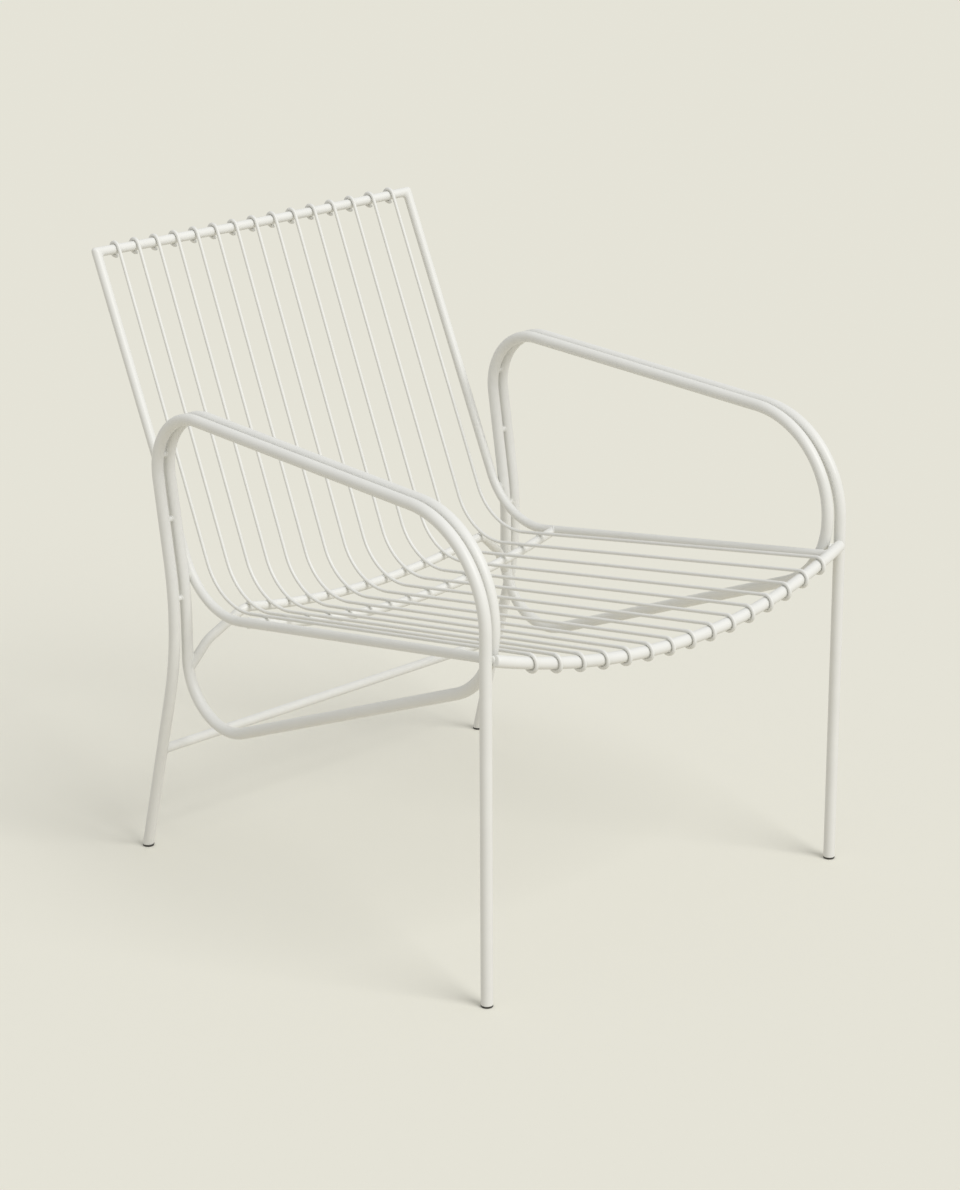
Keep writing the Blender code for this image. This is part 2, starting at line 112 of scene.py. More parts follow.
def drawn(bm, frames, radius, sides=TUBE_SIDES):
    """Tube wall drawn from frame to frame. Gives the points of its first and last ring."""
    ring = bmesh.ops.create_circle(bm, segments=sides, radius=radius, matrix=frames[0])["verts"]
    edges = list({edge for vert in ring for edge in vert.link_edges})
    first = ring
    for before, after in zip(frames, frames[1:]):
        made = bmesh.ops.extrude_edge_only(bm, edges=edges)["geom"]
        ring = [item for item in made if isinstance(item, bmesh.types.BMVert)]
        edges = [item for item in made if isinstance(item, bmesh.types.BMEdge)]
        bmesh.ops.transform(bm, matrix=after @ before.inverted(), verts=ring)
    return first, ring


def looped(bm, path, radius, sides=TUBE_SIDES):
    """Closed tube round a path whose ends meet."""
    frames = frames_along(path, closed=True)
    first, last = drawn(bm, [*frames, frames[0]], radius, sides)
    bmesh.ops.remove_doubles(bm, verts=[*first, *last], dist=radius * SEAM_MERGE)


def open_edges(ring):
    """Edges of a tube's open end."""
    return list({edge for vert in ring for edge in vert.link_edges if edge.is_boundary})


def end_face(bm, ring):
    """Closes a cut end."""
    bmesh.ops.contextual_create(bm, geom=open_edges(ring))


def linear(hex_colour):
    """Linear light values of an sRGB hex colour."""
    parts = [int(hex_colour[i:i + 2], 16) / 255 for i in (0, 2, 4)]
    return (*[((part + 0.055) / 1.055) ** 2.4 for part in parts], 1)


def add_node(tree, kind, settings=(), values=(), links=()):
    """Adds a node with its settings, its input values and the links into it."""
    added = tree.nodes.new(kind)
    for name, value in dict(settings).items():
        setattr(added, name, value)
    for socket, value in dict(values).items():
        added.inputs[socket].default_value = value
    for socket, source in dict(links).items():
        tree.links.new(source, added.inputs[socket])
    return added


def new_material(name):
    """An empty node material, and its node tree."""
    material = bpy.data.materials.new(name)
    material.use_nodes = True
    material.node_tree.nodes.clear()
    return material, material.node_tree


# White polyester powder coat, sprayed dry and baked. It lies a little thicker and thinner from place
# to place, which clouds the white, and its melt leaves a fine orange peel that breaks up the sheen.
CLOUD_SIZE = 0.045
PEEL_SIZE = 0.0022
powder_coat, tree = new_material("white_polyester_powder_coat")
place = add_node(tree, "ShaderNodeTexCoord").outputs["Object"]
cloud = add_node(tree, "ShaderNodeTexNoise",
                 values={"Scale": 1 / CLOUD_SIZE, "Detail": 3, "Roughness": 0.6},
                 links={"Vector": place}).outputs[0]
peel = add_node(tree, "ShaderNodeTexNoise",
                values={"Scale": 1 / PEEL_SIZE, "Detail": 1.5, "Roughness": 0.5},
                links={"Vector": place}).outputs[0]
white = add_node(tree, "ShaderNodeMix",
                 settings={"data_type": "RGBA"},
                 values={6: linear("E2E2DE"), 7: linear("EAEAE6")},
                 links={"Factor": cloud}).outputs[2]
sheen = add_node(tree, "ShaderNodeMapRange",
                 values={"From Min": 0.3, "From Max": 0.7, "To Min": 0.36, "To Max": 0.47},
                 links={"Value": cloud}).outputs[0]
dimples = add_node(tree, "ShaderNodeBump",
                   values={"Strength": 0.25, "Distance": 0.00012},
                   links={"Height": peel}).outputs[0]
coat = add_node(tree, "ShaderNodeBsdfPrincipled",
                values={"IOR": 1.5, "Metallic": 0},
                links={"Base Color": white, "Roughness": sheen, "Normal": dimples}).outputs[0]
add_node(tree, "ShaderNodeOutputMaterial", links={"Surface": coat})


def finished(name, bm, node, material):
    """Makes a finished piece that stands for its CAD node."""
    bmesh.ops.remove_doubles(bm, verts=bm.verts, dist=POINT_MERGE)
    bmesh.ops.recalc_face_normals(bm, faces=bm.faces)
    mesh = bpy.data.meshes.new(name)
    bm.to_mesh(mesh)
    bm.free()
    mesh.materials.append(material)
    mesh.shade_smooth()
    mesh.set_sharp_from_angle(angle=CREASE)
    piece = bpy.data.objects.new(name, mesh)
    bpy.context.collection.objects.link(piece)
    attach(piece, "root")
    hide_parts(node)


hoop_corners = (
    (-FOOT_LEAD, 0),
    (0, arm_height(0)),
    (REAR_CORNER_DEPTH, arm_height(REAR_CORNER_DEPTH)),
    (KNEE_DEPTH, KNEE_HEIGHT),
    (REAR_FOOT_DEPTH, 0),
)
hoop_radii = (ARM_FRONT_RADIUS, REAR_CORNER_RADIUS, KNEE_RADIUS)
hoop_path = {}
for label, side in SIDES:
    hoop_path[label] = rounded([side_point(side, 0, *corner) for corner in hoop_corners], hoop_radii)
    bm = bmesh.new()
    ends = drawn(bm, frames_along(hoop_path[label]), FRAME_TUBE / 2)
    for ring in ends:
        end_face(bm, ring)
        for vert in ring:
            vert.co.z = GLIDE_THICKNESS
    finished(f"{label}_hoop_tube", bm, f"{label}_leg_hoop", powder_coat)


# Foot glides
# A plug of dark polythene in the cut end of each leg keeps the steel off the floor. Only its sole
# shows, moulded as wide as the tube with a rounded lower edge.

GLIDE_EDGE = 0.0008
glide_plastic, tree = new_material("dark_moulded_polythene")
place = add_node(tree, "ShaderNodeTexCoord").outputs["Object"]
# Scuffs from the floor, some 4 mm across, dull the moulded skin and lighten it.
SCUFF_SIZE = 0.004
scuffs = add_node(tree, "ShaderNodeTexNoise",
                  values={"Scale": 1 / SCUFF_SIZE, "Detail": 4, "Roughness": 0.65},
                  links={"Vector": place}).outputs[0]
dark = add_node(tree, "ShaderNodeMix",
                settings={"data_type": "RGBA"},
                values={6: linear("2E2C2A"), 7: linear("4A4743")},
                links={"Factor": scuffs}).outputs[2]
dull = add_node(tree, "ShaderNodeMapRange",
                values={"From Min": 0.3, "From Max": 0.7, "To Min": 0.45, "To Max": 0.7},
                links={"Value": scuffs}).outputs[0]
grain = add_node(tree, "ShaderNodeBump",
                 values={"Strength": 0.3, "Distance": 0.0001},
                 links={"Height": scuffs}).outputs[0]
moulded = add_node(tree, "ShaderNodeBsdfPrincipled",
                   values={"IOR": 1.5, "Metallic": 0},
                   links={"Base Color": dark, "Roughness": dull, "Normal": grain}).outputs[0]
add_node(tree, "ShaderNodeOutputMaterial", links={"Surface": moulded})

for label, side in SIDES:
    for end, feet in (("front", hoop_corners[:2]), ("rear", hoop_corners[:-3:-1])):
        low, above = [side_point(side, 0, *corner) for corner in feet]
        upright = (above - low).normalized()
        bm = bmesh.new()
        bmesh.ops.create_circle(bm, cap_ends=True, segments=TUBE_SIDES,
                                radius=FRAME_TUBE / 2, matrix=Matrix.Translation(low))
        raised = bmesh.ops.extrude_face_region(bm, geom=bm.faces[:])["geom"]
        raised = [item for item in raised if isinstance(item, bmesh.types.BMVert)]
        bmesh.ops.translate(bm, vec=upright * GLIDE_THICKNESS / upright.z, verts=raised)
        rim = [edge for edge in bm.edges if all(vert.co.z < GLIDE_EDGE / 2 for vert in edge.verts)]
        bmesh.ops.bevel(bm, geom=rim, offset=GLIDE_EDGE, segments=3, profile=0.5, affect="EDGES", material=-1)
        finished(f"{label}_{end}_glide_sole", bm, f"{label}_{end}_glide", glide_plastic)


# Arm loops
# A closed loop of the same tube stands 4 mm inside each hoop, its ends butt welded and ground flush.
# It makes the inner arm rail, a second pair of uprights and a low bar that climbs to the front.

LOOP_OFFSET = 0.020
LOOP_SETBACK = 0.0053
LOOP_FRONT_RADIUS = 0.135
LOOP_KNEE_HEIGHT = 0.393
LOOP_LOW_REAR_HEIGHT = 0.173
LOOP_LOW_REAR_RADIUS = 0.085
LOOP_LOW_FRONT_HEIGHT = 0.4255
LOOP_LOW_FRONT_RADIUS = 0.110

rear_rise = arm_height(REAR_CORNER_DEPTH) - KNEE_HEIGHT
rear_lean = (REAR_CORNER_DEPTH - KNEE_DEPTH) / rear_rise
loop_rear_depth = KNEE_DEPTH + rear_lean * (LOOP_KNEE_HEIGHT - KNEE_HEIGHT)
loop_corners = (
    (LOOP_SETBACK, arm_height(LOOP_SETBACK)),
    (REAR_CORNER_DEPTH, arm_height(REAR_CORNER_DEPTH)),
    (loop_rear_depth, LOOP_KNEE_HEIGHT),
    (loop_rear_depth, LOOP_LOW_REAR_HEIGHT),
    (LOOP_SETBACK, LOOP_LOW_FRONT_HEIGHT),
)
loop_radii = (LOOP_LOW_FRONT_RADIUS, LOOP_FRONT_RADIUS, REAR_CORNER_RADIUS, KNEE_RADIUS, LOOP_LOW_REAR_RADIUS)
loop_path = {}
for label, side in SIDES:
    corners = [side_point(side, LOOP_OFFSET, *corner) for corner in loop_corners]
    seam = (corners[-2] + corners[-1]) / 2
    loop_path[label] = rounded([seam, corners[-1], *corners[:-1], seam], loop_radii)[:-1]
    bm = bmesh.new()
    looped(bm, loop_path[label], FRAME_TUBE / 2)
    finished(f"{label}_loop_tube", bm, f"{label}_arm_loop", powder_coat)


# Spacer pins
# Three short 8 mm pins a side tie the rear uprights of hoop and loop. Each end is coped to the tube
# and run round with a small fillet weld, which the powder coat softens.

SPACER_DIAMETER = 0.008
SPACER_DROPS = (0.070, 0.160, 0.270)
SPACER_SIDES = 24
SPACER_DRAWN = (0.45, 0.55)
FILLET = 0.0011
FILLET_SIDES = 10
RUN_UP = FRAME_TUBE * 1.5


def crossing(path, height):
    """Rear point at which a side path crosses a height, and its direction there."""
    found = []
    for low, high in zip(path, path[1:]):
        if (low.z - height) * (high.z - height) < 0:
            share = (height - low.z) / (high.z - low.z)
            found.append((low.lerp(high, share), (high - low).normalized()))
    return max(found, key=lambda item: item[0].y)


def coped(point, way, axis_point, axis, radius):
    """Where a line that runs into a round tube meets its wall."""
    offset = point - axis_point
    flat_offset = offset - axis * offset.dot(axis)
    flat_way = way - axis * way.dot(axis)
    a = flat_way.length_squared
    b = flat_offset.dot(flat_way)
    c = flat_offset.length_squared - radius * radius
    return point + way * ((-b - math.sqrt(max(b * b - a * c, 0))) / a)


def coped_end(bm, ring, way, axis_point, axis, radius):
    """Shapes a tube's end ring to the wall that it is welded to, and runs a fillet weld round it."""
    saddle = []
    for vert in ring:
        vert.co = coped(vert.co - way * RUN_UP, way, axis_point, axis.normalized(), radius)
        saddle.append(vert.co.copy())
    middle = sum(saddle, Vector()) / len(saddle)
    normal = way.cross(way.orthogonal()).normalized()
    across = way.cross(normal)
    saddle.sort(key=lambda point: math.atan2((point - middle).dot(normal), (point - middle).dot(across)))
    looped(bm, saddle, FILLET, FILLET_SIDES)


for label, side in SIDES:
    for number, drop in enumerate(SPACER_DROPS, 1):
        height = arm_height(REAR_CORNER_DEPTH) - drop
        outer, outer_axis = crossing(hoop_path[label], height)
        inner, inner_axis = crossing(loop_path[label], height)
        bm = bmesh.new()
        middle = [outer.lerp(inner, share) for share in SPACER_DRAWN]
        near, far = drawn(bm, frames_along(middle), SPACER_DIAMETER / 2, SPACER_SIDES)
        inwards = (inner - outer).normalized()
        coped_end(bm, near, -inwards, outer, outer_axis, FRAME_TUBE / 2)
        coped_end(bm, far, inwards, inner, inner_axis, FRAME_TUBE / 2)
        finished(f"{label}_pin_{number}", bm, f"{label}_spacer_{number}", powder_coat)


# Side rails and back top rail
# The sling frame is a lighter 13.5 mm tube. Each side rail runs back along the seat and up the back
# through one wide bend. It is mitred and welded to the bowed top rail, and the corner ground round.

SLING_TUBE = 0.0135
FRONT_RAIL_TUBE = 0.016
WELD_GAP = 0.0003
RAIL_OFFSET = LOOP_OFFSET + FRAME_TUBE / 2 + WELD_GAP + SLING_TUBE / 2
BACK_TOP_DEPTH = 0.812
BACK_TOP_HEIGHT = 0.8345
SEAT_CORNER_DEPTH = 0.600
SEAT_CORNER_HEIGHT = 0.361
SEAT_CORNER_RADIUS = 0.107
TOP_RAIL_BOW = 0.015
FRONT_RAIL_DEPTH = LOOP_SETBACK - FRAME_TUBE / 2 - WELD_GAP - FRONT_RAIL_TUBE / 2
FRONT_RAIL_HEIGHT = 0.4663
FRONT_RAIL_SAG = 0.048
FRONT_RAIL_BOW = 0.022
BOW_STEPS = 48
CORNER_EASE = 0.0045
EASE_STEPS = 8
INWARDS_SHARE = 0.98
BESIDE = 0.002


def bowed(across, half, end, dip):
    """Centre of a bar that is bent to an even dip between its ends."""
    return Vector((across, *end)) + Vector((0, *dip)) * (1 - (across / half) ** 2)


def bow_path(centre, half):
    """Path along a bowed bar, from its right end to its left one."""
    return [centre(half * (2 * i / BOW_STEPS - 1)) for i in range(BOW_STEPS + 1)]


def top_rail_centre(across):
    lean = Vector((BACK_TOP_DEPTH - SEAT_CORNER_DEPTH, BACK_TOP_HEIGHT - SEAT_CORNER_HEIGHT)).normalized()
    end = side_point(1, RAIL_OFFSET, BACK_TOP_DEPTH, BACK_TOP_HEIGHT)
    return bowed(across, end.x, (end.y, end.z), (lean.y * TOP_RAIL_BOW, -lean.x * TOP_RAIL_BOW))


front_half = LEG_SPREAD / 2 - WELD_GAP - math.sqrt(
    (FRAME_TUBE / 2 + WELD_GAP) ** 2 - max(abs(FRONT_RAIL_DEPTH) - FRONT_RAIL_TUBE / 2, 0) ** 2)


def front_rail_centre(across):
    share = 1 - ((LEG_SPREAD / 2 - LOOP_OFFSET) / front_half) ** 2
    end = (FRONT_LEGS_Y + FRONT_RAIL_DEPTH + FRONT_RAIL_BOW * share, FRONT_RAIL_HEIGHT)
    return bowed(across, front_half, end, (-FRONT_RAIL_BOW, -FRONT_RAIL_SAG))


rail_front = front_rail_centre(side_point(1, RAIL_OFFSET, 0, 0).x)
rail_front_depth = rail_front.y - FRONT_LEGS_Y
seat_rise = (rail_front.z - SEAT_CORNER_HEIGHT) / (SEAT_CORNER_DEPTH - rail_front_depth)


def side_rail_height(depth):
    """Height of the side rails' seat part at a depth."""
    return SEAT_CORNER_HEIGHT + (SEAT_CORNER_DEPTH - depth) * seat_rise


def cut_end(ring, way, plane_point, normal):
    """Cuts a tube's end ring along a plane."""
    for vert in ring:
        vert.co += way * ((plane_point - vert.co).dot(normal) / way.dot(normal))


def eased_mitre(bm, ring, way, far_way, corner):
    """Takes a tube's end ring up to its half of a mitred corner that is ground a little round."""
    cut_end(ring, way, corner, (way + far_way).normalized())
    step = way.angle(far_way) / (EASE_STEPS - 0.1)
    half_arc = rounded([-way, Vector(), far_way], (CORNER_EASE,), step)[1:2 + EASE_STEPS // 2]
    edges = open_edges(ring)
    bmesh.ops.translate(bm, vec=half_arc[0], verts=ring)
    for before, after in zip(half_arc, half_arc[1:]):
        made = bmesh.ops.extrude_edge_only(bm, edges=edges)["geom"]
        edges = [item for item in made if isinstance(item, bmesh.types.BMEdge)]
        moved = [item for item in made if isinstance(item, bmesh.types.BMVert)]
        bmesh.ops.translate(bm, vec=after - before, verts=moved)


def upper_corner(side):
    """Upper corner of the back, the side rail's direction down from it and the top rail's inwards."""
    corner = side_point(side, RAIL_OFFSET, BACK_TOP_DEPTH, BACK_TOP_HEIGHT)
    heel = side_point(side, RAIL_OFFSET, SEAT_CORNER_DEPTH, SEAT_CORNER_HEIGHT)
    inwards = top_rail_centre(corner.x * INWARDS_SHARE) - corner
    return corner, (heel - corner).normalized(), inwards.normalized()


def weld(bm, spot, axes, sizes):
    """Small weld between touching tubes or rods: a flattened bead, by its half sizes along its axes."""
    columns = [axis * size for axis, size in zip(axes, sizes)]
    bead = Matrix(columns).transposed().to_4x4()
    bead.translation = spot
    bmesh.ops.create_uvsphere(bm, u_segments=16, v_segments=8, radius=1, matrix=bead)


def passing(path, label):
    """Where a side rail's bend passes the rear upright of the loop, seen from the side."""
    bend = path[1:-1]
    gaps = [point.y - crossing(loop_path[label], point.z)[0].y for point in bend]
    for i in range(len(bend) - 1):
        if gaps[i] * gaps[i + 1] < 0:
            return bend[i].lerp(bend[i + 1], gaps[i] / (gaps[i] - gaps[i + 1]))


RAIL_WELD = (0.0060, 0.0060, 0.0018)
for label, side in SIDES:
    corner, down, inwards = upper_corner(side)
    heel = side_point(side, RAIL_OFFSET, SEAT_CORNER_DEPTH, SEAT_CORNER_HEIGHT)
    seat_end = side_point(side, RAIL_OFFSET, rail_front_depth, side_rail_height(rail_front_depth))
    path = rounded([corner, heel, seat_end], (SEAT_CORNER_RADIUS,))
    bm = bmesh.new()
    top, front = drawn(bm, frames_along(path), SLING_TUBE / 2)
    eased_mitre(bm, top, -down, inwards, corner)
    across = rail_front.x * side
    rail_way = front_rail_centre(across + BESIDE) - front_rail_centre(across - BESIDE)
    coped_end(bm, front, (path[-1] - path[-2]).normalized(), seat_end, rail_way, FRONT_RAIL_TUBE / 2)
    outwards = side_point(side, -SLING_TUBE / 2, 0, 0) - side_point(side, 0, 0, 0)
    beside = side_point(side, RAIL_OFFSET, LOOP_SETBACK, side_rail_height(LOOP_SETBACK))
    for point in (beside, passing(path, label)):
        weld(bm, point + outwards, (Vector((0, 1, 0)), Vector((0, 0, 1)), Vector((1, 0, 0))), RAIL_WELD)
    finished(f"{label}_rail_tube", bm, f"{label}_side_rail", powder_coat)

bm = bmesh.new()
half = upper_corner(1)[0].x
path = bow_path(top_rail_centre, half)
rings = drawn(bm, frames_along(path), SLING_TUBE / 2)
for ring, (label, side) in zip(rings, SIDES):
    corner, down, inwards = upper_corner(side)
    eased_mitre(bm, ring, -inwards, down, corner)
finished("top_rail_tube", bm, "back_top_rail", powder_coat)


# Front rail
# A tube as thick as the legs, bowed forward and down to fit behind the knees. Its ends butt on the
# inner faces of the legs, and it is welded again where it crosses the front uprights of the loops.

RAIL_END_ROUND = 0.0025
RIM_ANGLE = math.radians(57)
bm = bmesh.new()
path = bow_path(front_rail_centre, front_half + WELD_GAP * 2)
right_end, left_end = drawn(bm, frames_along(path), FRONT_RAIL_TUBE / 2)
for ring in (right_end, left_end):
    end_face(bm, ring)
rims = [edge for edge in bm.edges if len(edge.link_faces) == 2 and edge.calc_face_angle() > RIM_ANGLE]
bmesh.ops.bevel(bm, geom=rims, offset=RAIL_END_ROUND, segments=4, profile=0.5, affect="EDGES", material=-1)
UPRIGHT_WELD = (0.0060, 0.0022, 0.0070)
LEG_WELD = (0.0022, 0.0045, 0.0060)
level = (Vector((1, 0, 0)), Vector((0, 1, 0)), Vector((0, 0, 1)))
for label, side in SIDES:
    behind = front_rail_centre(side_point(side, LOOP_OFFSET, LOOP_SETBACK, 0).x)
    weld(bm, behind + level[1] * FRONT_RAIL_TUBE / 2, level, UPRIGHT_WELD)
    weld(bm, front_rail_centre(side * front_half) + level[1] * FRONT_RAIL_TUBE / 4, level, LEG_WELD)
finished("front_rail_tube", bm, "front_rail", powder_coat)


# Seat bar
# A dished cross tube under the seat, coped and welded between the side rails. The rods rest on it.

SEAT_BAR_LEAD = 0.097
SEAT_BAR_SAG = 0.039
seat_bar_setback = SEAT_CORNER_DEPTH - SEAT_BAR_LEAD
seat_bar_half = side_point(1, RAIL_OFFSET, seat_bar_setback, 0).x
seat_bar_end = (side_point(1, RAIL_OFFSET, seat_bar_setback, 0).y, side_rail_height(seat_bar_setback))


def seat_bar_centre(across):
    return bowed(across, seat_bar_half, seat_bar_end, (0, -SEAT_BAR_SAG))


bm = bmesh.new()
path = bow_path(seat_bar_centre, seat_bar_half)
rings = drawn(bm, frames_along(path), SLING_TUBE / 2)
for ring, (label, side), way in zip(rings, SIDES, (path[0] - path[1], path[-1] - path[-2])):
    end = side_point(side, RAIL_OFFSET, seat_bar_setback, side_rail_height(seat_bar_setback))
    rail = side_point(side, RAIL_OFFSET, 0, side_rail_height(0)) - end
    coped_end(bm, ring, way.normalized(), end, rail, SLING_TUBE / 2)
finished("seat_bar_tube", bm, "seat_bar", powder_coat)


# Seat rods
# Fifteen 5 mm steel rods make the seat and back. Each is hooked over the top rail, runs down the
# back, turns through one wide heel bend and hooks over the front rail, spot welded to the seat bar.

ROD_COUNT = 15
ROD = 0.005
ROD_PITCH_TOP = 0.0364
ROD_PITCH_FRONT = 0.0390
ROD_HEEL_RADIUS = 0.087
ROD_HEEL_SETBACK = 0.0011
ROD_HEEL_DISH = 0.0095
TOP_HOOK_WRAP = math.radians(275)
FRONT_HOOK_WRAP = math.radians(225)
HOOK_STEP = math.radians(9)
ROD_SIDES = 14
SPOT_WELD = (0.0036, 0.0033, 0.0013)


def rod_across(index, y):
    """Distance across, at a depth, of the rod that is index places from the middle."""
    top = top_rail_centre(0).y
    front = front_rail_centre(0).y
    return index * (ROD_PITCH_TOP + (ROD_PITCH_FRONT - ROD_PITCH_TOP) * (top - y) / (top - front))


def flat(point):
    """A point in the rod's upright plane."""
    return Vector((point.y, point.z))


def stand_off(centre, across, tube):
    """Distance from a bowed tube's centre to a rod's, in the rod's upright plane."""
    ahead = centre(across + ROD) - centre(across - ROD)
    return tube / 2 * ahead.length / (2 * ROD) + WELD_GAP + ROD / 2


def tangent_line(start, start_gap, end, end_gap):
    """Line that passes above two centres at set distances."""
    way = end - start
    turn = math.asin((end_gap - start_gap) / way.length)
    direction = Matrix.Rotation(turn, 2) @ way.normalized()
    normal = Vector((-direction.y, direction.x))
    return start + normal * start_gap, end + normal * end_gap


def rod_lines(index):
    """Front rail, seat, heel corner, back and top rail of one rod, in its upright plane."""
    across = [rod_across(index, y) for y in (front_rail_centre(0).y, seat_bar_end[0], top_rail_centre(0).y)]
    centres = (front_rail_centre, seat_bar_centre, top_rail_centre)
    front, bar, top = [flat(centre(x)) for centre, x in zip(centres, across)]
    tubes = (FRONT_RAIL_TUBE, SLING_TUBE, SLING_TUBE)
    front_gap, bar_gap, top_gap = [stand_off(*item) for item in zip(centres, across, tubes)]
    on_front, on_bar = tangent_line(front, front_gap, bar, bar_gap)
    edge = rod_across((ROD_COUNT - 1) / 2, seat_bar_end[0])
    dish = ROD_HEEL_DISH * (1 - (across[1] / edge) ** 2)
    heel_y = FRONT_LEGS_Y + SEAT_CORNER_DEPTH + ROD_HEEL_SETBACK + dish
    slope = (on_bar - on_front) / (on_bar.x - on_front.x)
    heel = on_front + slope * (heel_y - on_front.x)
    on_top = tangent_line(heel, 0, top, top_gap)[1]
    return front, on_front, heel, on_top, top


def hook(centre, start, wrap, turn):
    """Points of a hook that winds round a centre from its start."""
    steps = math.ceil(wrap / HOOK_STEP)
    return [centre + Matrix.Rotation(turn * wrap * i / steps, 2) @ (start - centre) for i in range(steps + 1)]


for number in range(ROD_COUNT):
    index = number - (ROD_COUNT - 1) / 2
    front, on_front, heel, on_top, top = rod_lines(index)
    corners = [Vector((0, *point)) for point in (on_front, heel, on_top)]
    heel_bend = [flat(point) for point in rounded(corners, (ROD_HEEL_RADIUS,))[1:-1]]
    front_hook = hook(front, on_front, FRONT_HOOK_WRAP, 1)
    top_hook = hook(top, on_top, TOP_HOOK_WRAP, -1)
    route = [*reversed(front_hook), *heel_bend, *top_hook]
    path = [Vector((rod_across(index, point.x), point.x, point.y)) for point in route]
    bm = bmesh.new()
    for ring in drawn(bm, frames_along(path), ROD / 2, ROD_SIDES):
        end_face(bm, ring)
    along = (heel - on_front).normalized()
    above = Vector((-along.y, along.x))
    touch = flat(seat_bar_centre(rod_across(index, seat_bar_end[0]))) + above * SLING_TUBE / 2
    axes = (Vector((0, *along)), Vector((1, 0, 0)), Vector((0, *above)))
    weld(bm, Vector((rod_across(index, touch.x), *touch)), axes, SPOT_WELD)
    finished(f"rod_{number + 1:02d}", bm, f"seat_rod_{number + 1:02d}", powder_coat)


# Rear arch bar
# A cross tube spot welded to the heels of the rods from below. Its ends turn down and out, through a
# tight shoulder and an easier elbow, to the rear uprights of the loops, where they are coped and welded.

ARCH_ANGLE = math.radians(23)
ARCH_SHOULDER = 0.228
ARCH_SHOULDER_RADIUS = 0.030
ARCH_ELBOW_INSET = 0.0268
ARCH_ELBOW_RISE = 0.0395
ARCH_ELBOW_RADIUS = 0.050
ARCH_END_HEIGHT = 0.283


def under_heel(across, drop):
    """Point under the heel bend of a rod, at a distance from the rod's centre line."""
    index = across / rod_across(1, FRONT_LEGS_Y + SEAT_CORNER_DEPTH)
    front, on_front, heel, on_top, top = rod_lines(index)
    ways = [(point - heel).normalized() for point in (on_front, on_top)]
    half = ways[0].angle(ways[1]) / 2
    centre = heel + (ways[0] + ways[1]).normalized() * ROD_HEEL_RADIUS / math.sin(half)
    point = centre + Vector((math.sin(ARCH_ANGLE), -math.cos(ARCH_ANGLE))) * (ROD_HEEL_RADIUS + drop)
    return Vector((across, *point))


def arch_point(across):
    """Centre of the arch bar where it lies under the heels of the rods."""
    return under_heel(across, ROD / 2 + WELD_GAP * 2 + SLING_TUBE / 2)


def arch_end(label, side, start):
    """Route of a turned-down end from its start under a rod, over a shoulder and an elbow."""
    end = crossing(loop_path[label], ARCH_END_HEIGHT)[0]
    shoulder = arch_point(side * ARCH_SHOULDER)
    share = 1 - ARCH_ELBOW_INSET / (abs(end.x) - ARCH_SHOULDER)
    elbow = shoulder.lerp(end, share)
    elbow.z = ARCH_END_HEIGHT + ARCH_ELBOW_RISE
    return rounded([start, shoulder, elbow, end], (ARCH_SHOULDER_RADIUS, ARCH_ELBOW_RADIUS))


pitch = rod_across(1, FRONT_LEGS_Y + SEAT_CORNER_DEPTH)
reach = int(ARCH_SHOULDER / pitch - 0.5) * pitch
under = bow_path(arch_point, reach)
turned = [arch_end(*item, start) for item, start in zip(SIDES, (under[0], under[-1]))]
path = [*reversed(turned[0]), *under[1:-1], *turned[1]]
bm = bmesh.new()
rings = drawn(bm, frames_along(path), SLING_TUBE / 2)
for ring, (label, side), way in zip(rings, SIDES, (path[0] - path[1], path[-1] - path[-2])):
    foot, upright = crossing(loop_path[label], ARCH_END_HEIGHT + SLING_TUBE)
    coped_end(bm, ring, way.normalized(), foot, upright, FRAME_TUBE / 2)
slope = (Vector((0, math.cos(ARCH_ANGLE), math.sin(ARCH_ANGLE))), Vector((1, 0, 0)),
         Vector((0, -math.sin(ARCH_ANGLE), math.cos(ARCH_ANGLE))))
for number in range(ROD_COUNT):
    across = (number - (ROD_COUNT - 1) / 2) * pitch
    if abs(across) < ARCH_SHOULDER:
        weld(bm, under_heel(across, ROD / 2 + WELD_GAP), slope, SPOT_WELD)
finished("arch_bar_tube", bm, "rear_arch_bar", powder_coat)


# Rear stretcher
# A straight tube that braces the rear legs, coped and welded at both ends.

STRETCHER_HEIGHT = 0.158
STRETCHER_DRAWN = (0.02, 0.5, 0.98)
bm = bmesh.new()
ends = [crossing(hoop_path[label], STRETCHER_HEIGHT) for label, side in SIDES]
path = [ends[0][0].lerp(ends[1][0], share) for share in STRETCHER_DRAWN]
rings = drawn(bm, frames_along(path), SLING_TUBE / 2)
way = (path[-1] - path[0]).normalized()
for ring, end, outwards in zip(rings, ends, (-way, way)):
    coped_end(bm, ring, outwards, *end, FRAME_TUBE / 2)
finished("stretcher_tube", bm, "rear_stretcher", powder_coat)


# Studio floor
# Plain warm paper. The camera sees it a little lighter than it lights the chair, as a wide studio
# sweep with dark surroundings would.

PAPER = "E9E7DB"
BOUNCE = "D8D3C4"
FLOOR_REACH = 60


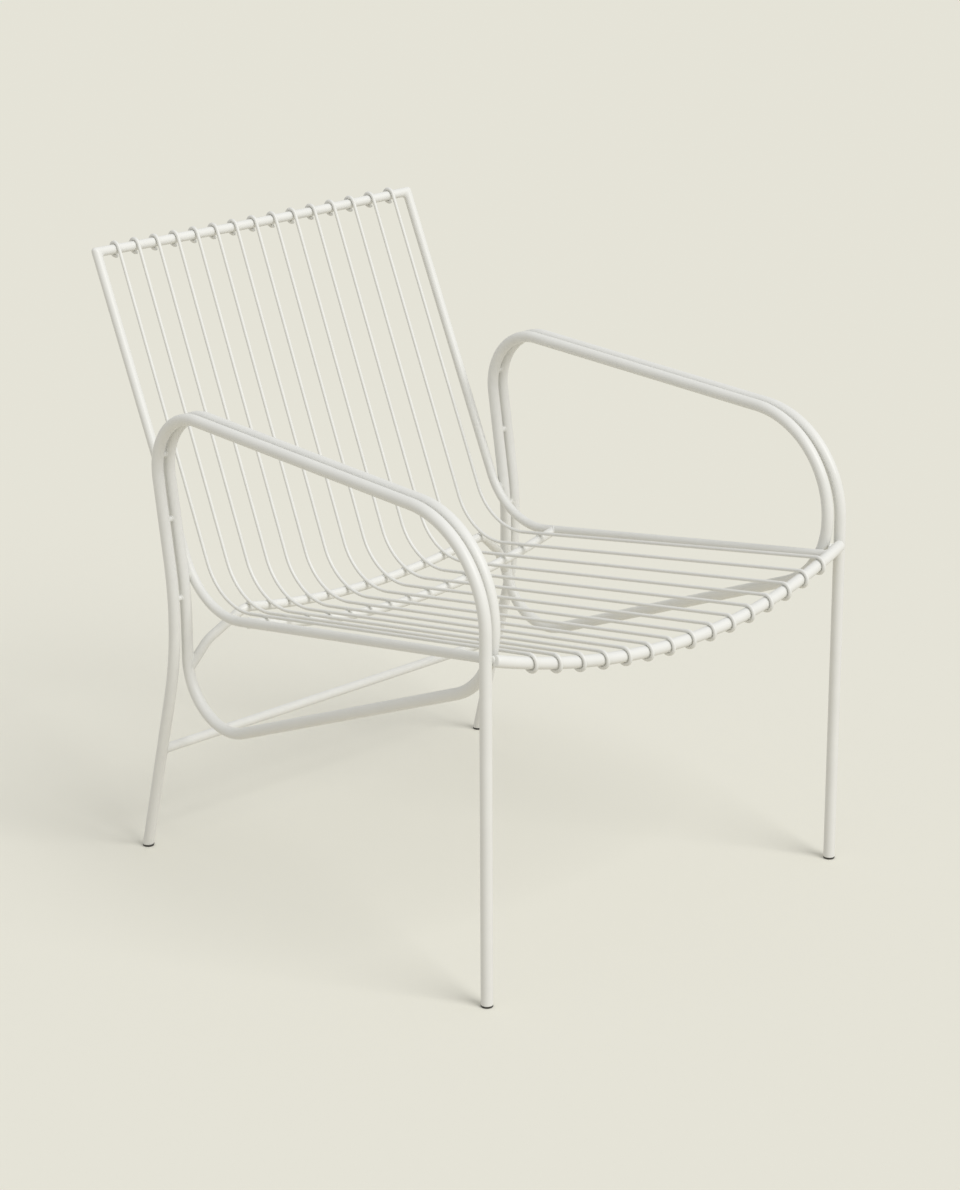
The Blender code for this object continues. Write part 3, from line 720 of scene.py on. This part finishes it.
def seen_or_lit(tree, lit, shown):
    """A tone that is shown to the camera and in gloss or glass, beside the one that lights the chair."""
    rays = add_node(tree, "ShaderNodeLightPath").outputs
    seen = add_node(tree, "ShaderNodeMath", settings={"operation": "MAXIMUM"},
                    links={0: rays["Is Camera Ray"], 1: rays["Is Glossy Ray"]}).outputs[0]
    seen = add_node(tree, "ShaderNodeMath", settings={"operation": "MAXIMUM"},
                    links={0: seen, 1: rays["Is Transmission Ray"]}).outputs[0]
    return add_node(tree, "ShaderNodeMix", settings={"data_type": "RGBA"},
                    values={6: lit, 7: shown}, links={"Factor": seen}).outputs[2]


studio_paper, tree = new_material("studio_paper")
tone = seen_or_lit(tree, linear(BOUNCE), linear(PAPER))
matt = add_node(tree, "ShaderNodeBsdfDiffuse", links={"Color": tone}).outputs[0]
add_node(tree, "ShaderNodeOutputMaterial", links={"Surface": matt})

mesh = bpy.data.meshes.new("studio_floor")
bm = bmesh.new()
bmesh.ops.create_grid(bm, x_segments=1, y_segments=1, size=FLOOR_REACH)
bm.to_mesh(mesh)
bm.free()
mesh.materials.append(studio_paper)
floor = bpy.data.objects.new("studio_floor", mesh)
bpy.context.collection.objects.link(floor)


# Studio light
# Soft light from all round, and one large soft key from above and in front of the chair.

BACKDROP = "E5E3D7"
SKY_LEVEL = 0.58
world = bpy.data.worlds.new("studio")
bpy.context.scene.world = world
world.use_nodes = True
tree = world.node_tree
tree.nodes.clear()
tone = seen_or_lit(tree, (SKY_LEVEL, SKY_LEVEL, SKY_LEVEL, 1), linear(BACKDROP))
sky = add_node(tree, "ShaderNodeBackground", values={"Strength": 1}, links={"Color": tone}).outputs[0]
add_node(tree, "ShaderNodeOutputWorld", links={"Surface": sky})

KEY_LEVEL = 1.7
KEY_SPREAD = math.radians(34)
KEY_ANGLES = (math.radians(45), 0, math.radians(6))
key = bpy.data.lights.new("key", "SUN")
key.energy = KEY_LEVEL
key.angle = KEY_SPREAD
lamp = bpy.data.objects.new("key", key)
lamp.rotation_euler = KEY_ANGLES
bpy.context.collection.objects.link(lamp)


# Camera
# Placed as in the photograph: a long lens, a little above the chair, from its right front.

camera = bpy.data.cameras.new("camera")
camera.sensor_fit = "VERTICAL"
camera.sensor_height = 36
camera.lens = 96.09
viewer = bpy.data.objects.new("camera", camera)
viewer.location = (-2.8720, -3.0114, 1.8122)
viewer.rotation_euler = (math.radians(70.913), 0, math.radians(-44.028))
bpy.context.collection.objects.link(viewer)
bpy.context.scene.camera = viewer
bpy.context.scene.view_settings.view_transform = "Standard"
